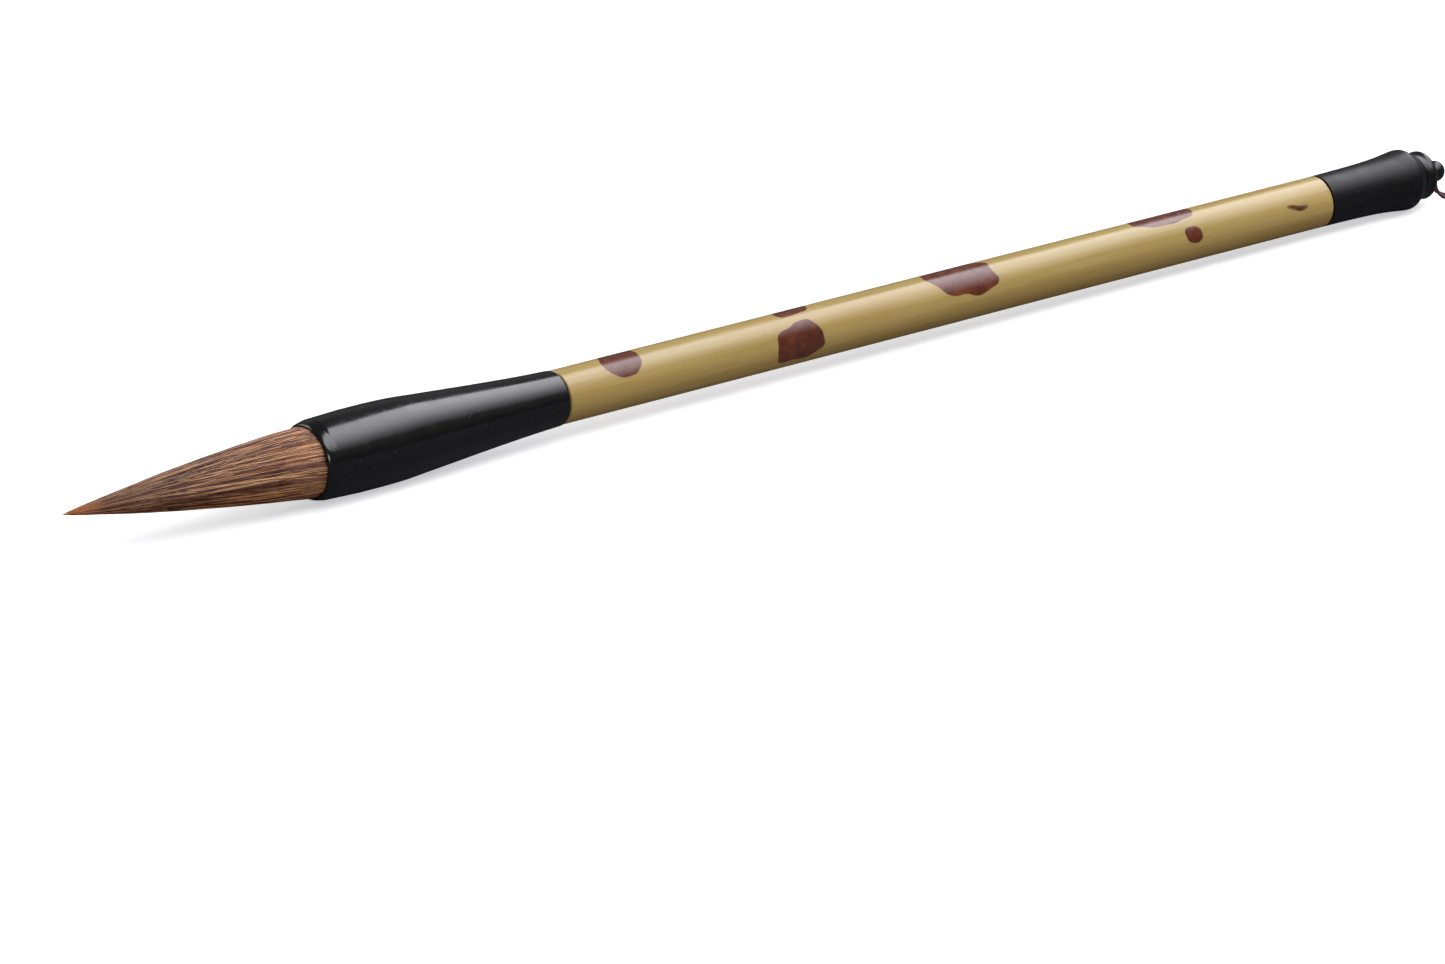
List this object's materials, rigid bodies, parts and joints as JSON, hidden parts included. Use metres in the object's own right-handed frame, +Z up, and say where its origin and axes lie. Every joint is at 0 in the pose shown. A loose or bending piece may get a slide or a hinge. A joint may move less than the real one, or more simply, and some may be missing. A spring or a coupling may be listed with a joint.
{
  "type": "calligraphy brush",
  "caption": "Large round calligraphy brush with a pointed brown hair tuft, black horn ferrule, spotted bamboo handle, flared tail cap and a hanging cord.",
  "frame": {"origin": "on the table, under the middle of the brush's length (hair point to end of the ball) and on its axis plane", "axes": "+X along the shaft from the hair point towards the hanging loop, +Z up from the table"},
  "size_m": [0.3477, 0.0197, 0.0142],
  "materials": {
    "horn": "black polished horn, faint dust scratches, worn at the rims",
    "bamboo": "yellow bamboo rind under clear lacquer, with dark red-brown blotches",
    "dowel_wood": "plain turned wood",
    "hair": "straight glossy brown animal hair, amber at the point",
    "inner_hair": "packed brown hair",
    "thread": "waxed natural thread",
    "rosin": "dark amber resin",
    "silk_cord": "dark maroon twisted silk"
  },
  "bodies": {
    "shaft": {"ferrule": "horn", "hair_root": "inner_hair", "root_thread": "thread", "root_seal": "rosin", "front_dowel": "dowel_wood", "handle_tube": "bamboo", "rear_dowel": "dowel_wood", "tail_cap": "horn", "finial": "horn", "hanging_loop": "silk_cord"},
    "tuft": {"cover_hair": "hair", "padding_hair": "inner_hair", "core_hair": "inner_hair"}
  },
  "joints": [
    {"name": "tuft_bend", "type": "hinge", "parent": "shaft", "child": "tuft", "pos_m": [-0.10696, 0, 0.00718], "axis": [0, 0, 1], "range_deg": [-35, 35], "stiffness_Nm_per_rad": 0.02}
  ]
}
